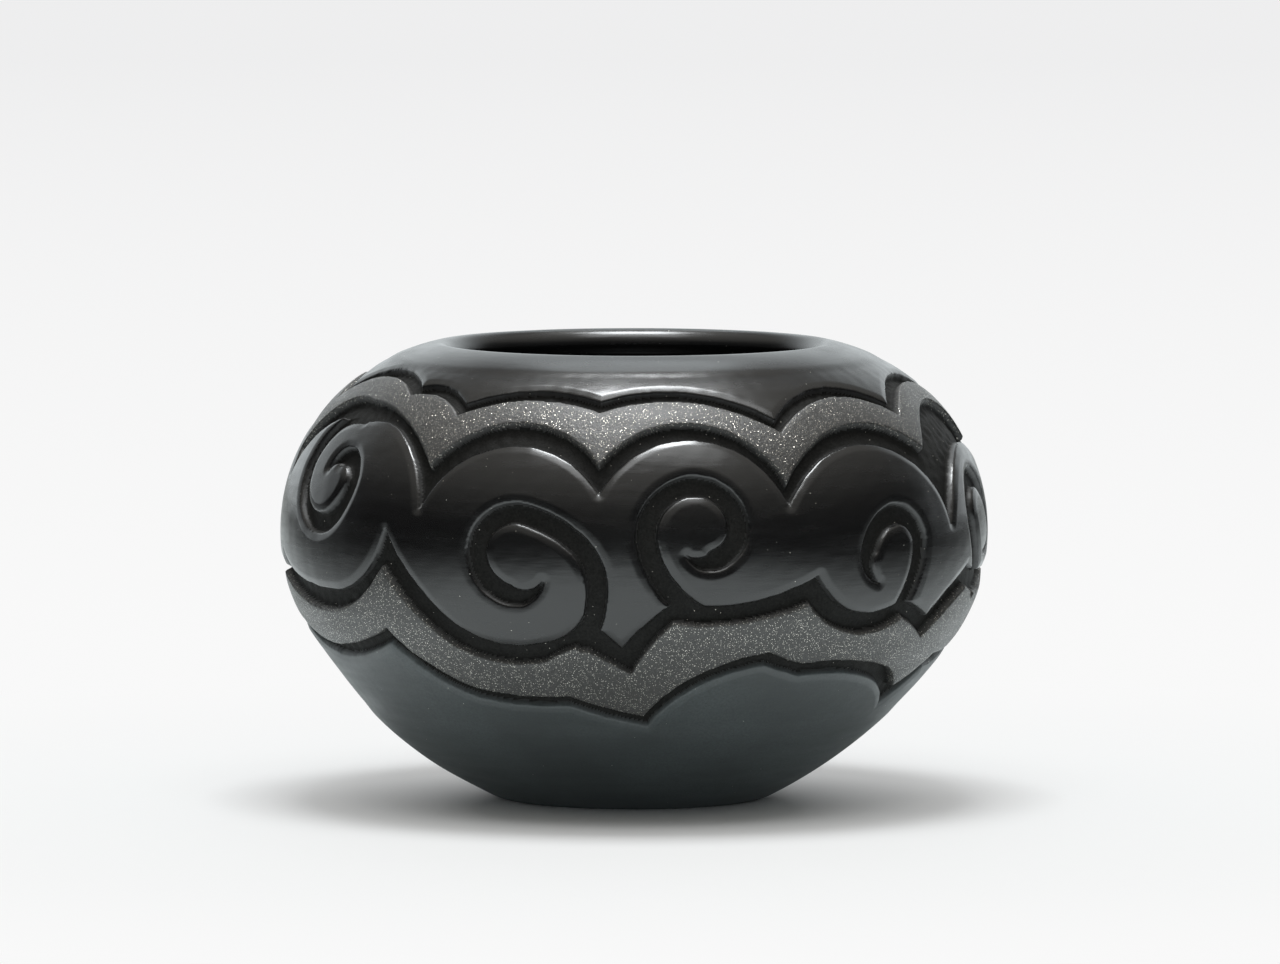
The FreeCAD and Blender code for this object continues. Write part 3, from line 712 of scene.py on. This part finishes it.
def make_piece(name, verts, quads, material, stands_for, cut_values=None, fan=NO_FAN):
    """A smooth mesh object from an array of points, one of quads and a fan of triangles."""
    mesh = bpy.data.meshes.new(name)
    used, flat = np.unique(np.concatenate([quads.ravel(), fan.ravel()]), return_inverse=True)
    starts = np.concatenate([4 * np.arange(len(quads)), 4 * len(quads) + 3 * np.arange(len(fan))])
    mesh.vertices.add(len(used))
    mesh.vertices.foreach_set("co", slumped(verts[used]).astype(np.float32).ravel())
    mesh.loops.add(len(flat))
    mesh.loops.foreach_set("vertex_index", flat.astype(np.int32))
    mesh.polygons.add(len(starts))
    mesh.polygons.foreach_set("loop_start", starts.astype(np.int32))
    mesh.polygons.foreach_set("use_smooth", np.ones(len(starts), dtype=bool))
    mesh.update(calc_edges=True)
    if cut_values is not None:
        mesh.attributes.new("cut", "FLOAT", "POINT").data.foreach_set(
            "value", cut_values[used].astype(np.float32))
    mesh.materials.append(material)
    piece = bpy.data.objects.new(name, mesh)
    bpy.context.scene.collection.objects.link(piece)
    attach(piece, "root")
    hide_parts(*stands_for)
    print(name, len(quads), "quads")
    return piece


# %% Quads by field and by sector
SECTORS = 5
CUT_PIECE_LINE = -0.45 * MM
COILS = (["bowl_coil_1", "bowl_coil_2"] + ["belly_coil_%d" % n for n in range(1, 6)]
         + ["shoulder_coil_1", "shoulder_coil_2"])
FIELDS = (("shoulder_field", polished, "polished_slip"), ("upper_ribbon", sandy, "matte_slip"),
          ("scroll_band", polished, "polished_slip"), ("lower_ribbon", sandy, "matte_slip"),
          ("bowl_field", satin, "polished_slip"))
corner = np.arange(rows)[:, None] * (columns + 1) + np.arange(columns)[None, :]
quads = np.stack([corner, corner + 1, corner + columns + 2, corner + columns + 1], axis=-1)
middle = (distance[:-1, :-1] + distance[1:, 1:] + distance[1:, :-1] + distance[:-1, 1:]) / 4
in_cut = middle < CUT_PIECE_LINE
sector = np.broadcast_to(np.arange(columns) * SECTORS // columns, in_cut.shape)
for number, (name, finish, slot_name) in enumerate(FIELDS):
    for part in range(SECTORS):
        chosen = (field[:-1, :-1] == number) & (sector == part) & ~in_cut
        make_piece("%s_skin_%d" % (name, part + 1), points.reshape(-1, 3), quads[chosen], finish,
                   [name], cut.ravel())
for part in range(SECTORS):
    make_piece("trench_floor_%d" % (part + 1), points.reshape(-1, 3),
               quads[(sector == part) & in_cut], shaded_cut_clay, COILS)

# %% [markdown]
# ## Lip, inside and foot
# Above the last joint the coil is thinned and rolled inwards. Below the first one the pat makes the
# foot. Both are plain turned forms, so each is a profile carried round the axis: a grid of steps
# along the profile and steps round the jar.

# %% Turning
STEPS = 720
POLE_RING = 2.0 * MM


def turned(name, wide, high, material, stands_for, pole=None):
    """A profile turned about the axis: x = r sin a, y = -r cos a, z = h.

    A pole, "first" or "last", puts one point on the axis and closes that ring with a fan.
    """
    azimuth = 2 * math.pi * np.arange(STEPS) / STEPS + FRONT_SEAM / BELLY_RADIUS
    ring = np.stack([np.outer(wide, np.sin(azimuth)), -np.outer(wide, np.cos(azimuth)),
                     np.repeat(high[:, None], STEPS, axis=1)], axis=-1).reshape(-1, 3)
    base = np.arange(len(wide) - 1)[:, None] * STEPS
    here, there = base + np.arange(STEPS), base + np.roll(np.arange(STEPS), -1)
    faces = np.stack([here, there, there + STEPS, here + STEPS], axis=-1).reshape(-1, 4)
    fan = NO_FAN
    if pole:
        row = 0 if pole == "first" else len(wide) - 1
        one = row * STEPS + np.arange(STEPS)
        two, axis = np.roll(one, -1), np.full(STEPS, len(ring))
        fan = np.stack([axis, two, one] if pole == "first" else [one, two, axis], axis=-1)
        ring = np.vstack([ring, [0.0, 0.0, high[row]]])
    return make_piece(name, ring, faces, material, stands_for, fan=fan)


# %% Lip and inside wall
INNER_STEPS, RIM_STEPS, ROLL_STEPS = 120, 24, 60
rise = np.linspace(0.0, LAST_JOINT, INNER_STEPS)
inner_wide, inner_high = profile(rise, WALL_THICKNESS)
above_floor = inner_high > BASE_THICKNESS
inner_wide, inner_high = inner_wide[above_floor], inner_high[above_floor]
rise = np.linspace(LAST_JOINT, LENGTH, RIM_STEPS)
outer_wide, outer_high = profile(rise, 0.0)
to_wall = (inner_wide[-1] - lip[0], inner_high[-1] - lip[1])
last_turn = (math.atan2(to_wall[1], to_wall[0]) - math.acos(LIP_ROUND / math.hypot(*to_wall))
             + 2 * math.pi)
lip_wide, lip_high = polar(lip, LIP_ROUND, np.linspace(LIP_TURN, last_turn, ROLL_STEPS)[1:])
turned("rolled_lip", np.concatenate([outer_wide, lip_wide, inner_wide[-1:]]),
       np.concatenate([outer_high, lip_high, inner_high[-1:]]), smooth_slip,
       ["rim_coil"])
turned("inside_wall", inner_wide[::-1], inner_high[::-1], scraped, COILS)

# %% Foot and inside floor
FOOT_STEPS, CORNER_STEPS, FLOOR_STEPS = 60, 16, 20
rise = np.linspace(0.0, FIRST_JOINT, FOOT_STEPS)
outer_wide, outer_high = profile(rise, 0.0)
corner_wide = FOOT_RADIUS - FOOT_ROUND * math.tan(-FOOT_TURN)
t = np.linspace(0, 1, CORNER_STEPS)
foot_wide = ((1 - t) ** 2 * (2 * corner_wide - FOOT_RADIUS) + 2 * t * (1 - t) * corner_wide
             + t ** 2 * FOOT_RADIUS)
under_wide = np.linspace(POLE_RING, foot_wide[0], FLOOR_STEPS)[:-1]
turned("foot_and_floor", np.concatenate([under_wide, foot_wide, outer_wide[1:]]),
       np.concatenate([under_wide * 0, t ** 2 * FOOT_ROUND, outer_high[1:]]), foot_slip_painted_lighter,
       ["base_pat"], pole="first")
floor_wide = np.linspace(inner_wide[0], POLE_RING, FLOOR_STEPS)
turned("inside_floor", floor_wide, floor_wide * 0 + inner_high[0], scraped,
       ["base_pat"], pole="last")

# %% [markdown]
# ## Paper
# The jar stands on white paper. Near it the paper is lit for real, so that the shadow falls on it,
# and further off the camera sees an even white. Reflections see another paper with a painted pool
# of light: its colour is bright near the jar and fades with one over the distance. Together with
# the painted lighter colour of the satin slip, this turns the lower bowl slate grey and leaves the
# belly above it nearly black. A small real sheet in a dark room would do the same, but its edge
# would show from other sides.

# %% Paper in reflections
TABLE_HALF = 9.0
# The two reflected paper colours paint a pool of light, slightly blue: bright near the jar and dim
# far off, seen only in reflections.
PAPER_SEEN, PAINTED_POOL_BRIGHT, PAINTED_POOL_DIM = (0.80, 0.80, 0.80), (0.89, 0.94, 0.95), (0.05, 0.05, 0.05)
LIT_REACH, DIM_REACH, LEAST_REACH = 0.42, 4.0, 0.05
SIDE_SQUEEZE, BEHIND_GAIN = 2.2, 0.9


def paper_with_painted_pool(tree, spot):
    """Painted pool of light: bright to dim by 1 / reach, where reach is |(2.2 x, y)| in front and
    2.2 |x| - 0.9 y behind.
    """
    narrow = node(tree, "ShaderNodeMapping", (-1400, 400), Vector=spot,
                  Scale=(SIDE_SQUEEZE, 1.0, 1.0))
    in_front = vectors(tree, "MINIMUM", (-1300, 400), narrow.outputs["Vector"],
                       (2 * SIDE_SQUEEZE * TABLE_HALF, 0.0, 0.0))
    split = node(tree, "ShaderNodeSeparateXYZ", (-1300, 650), Vector=spot)
    behind_jar = arithmetic(tree, "MAXIMUM", (-1200, 650), split.outputs["Y"], 0.0)
    across = vectors(tree, "LENGTH", (-1100, 400), in_front)
    gained = arithmetic(tree, "MULTIPLY", (-1100, 650), behind_jar, BEHIND_GAIN)
    reach = arithmetic(tree, "SUBTRACT", (-1000, 500), across, gained)
    nearness = arithmetic(tree, "DIVIDE", (-950, 400), 1.0,
                          arithmetic(tree, "MAXIMUM", (-975, 450), reach, LEAST_REACH))
    dim = ranged(tree, (-900, 400), nearness, 1 / DIM_REACH, 1 / LIT_REACH, 1.0, 0.0, eased=True)
    return colour_between(tree, (-700, 400), dim, PAINTED_POOL_BRIGHT, PAINTED_POOL_DIM)


# %% White surround
WHITE_NEAR, WHITE_FAR = (0.945, 0.945, 0.945), (0.855, 0.855, 0.86)
SHADOW_CENTRE = -0.035


def white_surround(tree, spot):
    """The even white, and its share: 0 at the foot, 0.34 over the shadow, 1 from 0.42 m on."""
    shifted = node(tree, "ShaderNodeMapping", (-900, 0), Vector=spot,
                   Location=(0.0, -SHADOW_CENTRE, 0.0))
    away = vectors(tree, "LENGTH", (-700, 0), shifted.outputs["Vector"])
    veil = ranged(tree, (-500, 150), away, 0.05, 0.115, 0.0, 0.34)
    spread = ranged(tree, (-500, 0), away, 0.15, 0.42, 0.0, 0.66, eased=True)
    far = ranged(tree, (-500, -250), away, 0.6, 5.0, 0.0, 1.0)
    white = colour_between(tree, (-300, -200), far, WHITE_NEAR, WHITE_FAR)
    return white, arithmetic(tree, "ADD", (-300, 50), veil, spread)


# %% Table
paper = bpy.data.materials.new("white table")
paper.use_nodes = True
tree = paper.node_tree
shader = tree.nodes["Principled BSDF"]
spot = node(tree, "ShaderNodeTexCoord", (-1500, 0)).outputs["Object"]
seen = node(tree, "ShaderNodeLightPath", (-500, 300)).outputs["Is Camera Ray"]
feed(tree, shader.inputs["Base Color"],
     colour_between(tree, (-300, 300), seen, paper_with_painted_pool(tree, spot), PAPER_SEEN))
feed(tree, shader.inputs["Roughness"], 0.9)
feed(tree, shader.inputs["Specular IOR Level"], 0.1)
white, white_share = white_surround(tree, spot)
glow = node(tree, "ShaderNodeEmission", (-100, -200), Color=white)
both = node(tree, "ShaderNodeMixShader", (200, 0),
            Fac=arithmetic(tree, "MULTIPLY", (-100, 200), white_share, seen))
feed(tree, both.inputs[1], shader.outputs["BSDF"])
feed(tree, both.inputs[2], glow.outputs["Emission"])
feed(tree, tree.nodes["Material Output"].inputs["Surface"], both.outputs["Shader"])
table_mesh = bpy.data.meshes.new("table")
table_mesh.from_pydata([(-TABLE_HALF, -TABLE_HALF, 0), (TABLE_HALF, -TABLE_HALF, 0),
                        (TABLE_HALF, TABLE_HALF, 0), (-TABLE_HALF, TABLE_HALF, 0)], [],
                       [(0, 1, 2, 3)])
table_mesh.materials.append(paper)
table = bpy.data.objects.new("table", table_mesh)
bpy.context.scene.collection.objects.link(table)
print("table", 2 * TABLE_HALF, "m wide")

# %% [markdown]
# ## Room and lamps
# Polished clay shows the room more than its own colour. In front the room is dark up to a warm
# ceiling, and behind stands a bright wall that rims the shoulder. One soft box overhead draws the
# lines of light, a weak one at the back lights the lip, and a wide one fills in from the front. A
# low lamp lifts the shade of the bowl. It is hidden from reflections, as none shows such a lamp.

# %% Room
ROOM_DARK, CEILING = (0.035, 0.035, 0.035), (0.44, 0.97 * 0.44, 0.90 * 0.44)
WALL, BACK_CEILING = (0.92 * 1.15, 0.98 * 1.15, 1.15), (0.15, 0.15, 0.15)
world = bpy.data.worlds.new("studio room")
bpy.context.scene.world = world
world.use_nodes = True
tree = world.node_tree
heading = node(tree, "ShaderNodeTexCoord", (-1300, 0)).outputs["Generated"]
aim = node(tree, "ShaderNodeSeparateXYZ", (-1100, 0), Vector=heading)
upward = ranged(tree, (-900, 100), aim.outputs["Z"], 0.20, 0.85, 0.0, 1.0, eased=True)
behind = ranged(tree, (-900, -150), aim.outputs["Y"], 0.30, 0.88, 0.0, 1.0, eased=True)
above = ranged(tree, (-900, -400), aim.outputs["Z"], 0.35, 0.70, 0.0, 1.0)
front = colour_between(tree, (-600, 100), upward, ROOM_DARK, CEILING)
back = colour_between(tree, (-600, -300), above, WALL, BACK_CEILING)
room = colour_between(tree, (-400, 0), behind, front, back)
seen = node(tree, "ShaderNodeLightPath", (-600, 400)).outputs["Is Camera Ray"]
feed(tree, tree.nodes["Background"].inputs["Color"],
     colour_between(tree, (-200, 0), seen, room, WHITE_FAR))


# %% Lamps
def soft_light(name, place, aim, size, radiance, colour):
    """A rectangular area lamp; its power is radiance times pi times its area."""
    lamp = bpy.data.lights.new(name, "AREA")
    lamp.shape = "RECTANGLE"
    lamp.size, lamp.size_y = size
    lamp.energy = radiance * math.pi * size[0] * size[1]
    lamp.color = colour
    thing = bpy.data.objects.new(name, lamp)
    thing.location = place
    thing.rotation_euler = (Vector(aim) - Vector(place)).to_track_quat("-Z", "Y").to_euler()
    bpy.context.scene.collection.objects.link(thing)
    return thing


soft_light("soft box", (0.0, 0.10, 1.45), (0, 0, 0.05), (0.54, 0.50), 15.5, (0.95, 0.98, 1.0))
soft_light("back box", (0.0, 1.05, 1.30), (0, 0, 0.10), (0.50, 0.60), 1.3, (0.90, 0.97, 1.0))
soft_light("front fill", (0.0, -0.75, 2.1), (0, 0, 0.05), (1.7, 0.9), 2.0, (0.97, 0.99, 1.0))
low_fill = soft_light("low fill", (0.0, -1.7, 0.30), (0, 0, 0.06), (1.4, 0.4), 3.0,
                      (0.90, 0.97, 1.0))
low_fill.visible_glossy = False
print("lamps", [one.name for one in bpy.data.lights])

# %% [markdown]
# ## Camera
# The photo was taken from far away with a long lens, a little above the rim, so the jar's mouth is
# a narrow ellipse and its sides show little perspective. The lens follows from its focal length in
# pixels of the photo's frame, which is 1280 pixels wide.

# %% Camera
CAMERA_DISTANCE, CAMERA_HEIGHT, CAMERA_ASIDE = 3.8, 0.41723, 0.0019
CAMERA_PITCH = 4.757
FOCAL_PIXELS, FRAME_WIDTH = 11912.5, 1280
camera_data = bpy.data.cameras.new("camera")
camera_data.sensor_width = 36
camera_data.lens = FOCAL_PIXELS / FRAME_WIDTH * camera_data.sensor_width
camera_data.clip_end = 50
camera = bpy.data.objects.new("camera", camera_data)
camera.location = (CAMERA_ASIDE, -CAMERA_DISTANCE, CAMERA_HEIGHT)
camera.rotation_euler = (math.radians(90 - CAMERA_PITCH), 0, 0)
bpy.context.scene.collection.objects.link(camera)
bpy.context.scene.camera = camera
bpy.context.scene.view_settings.view_transform = "Standard"
print("lens", round(camera_data.lens), "mm")
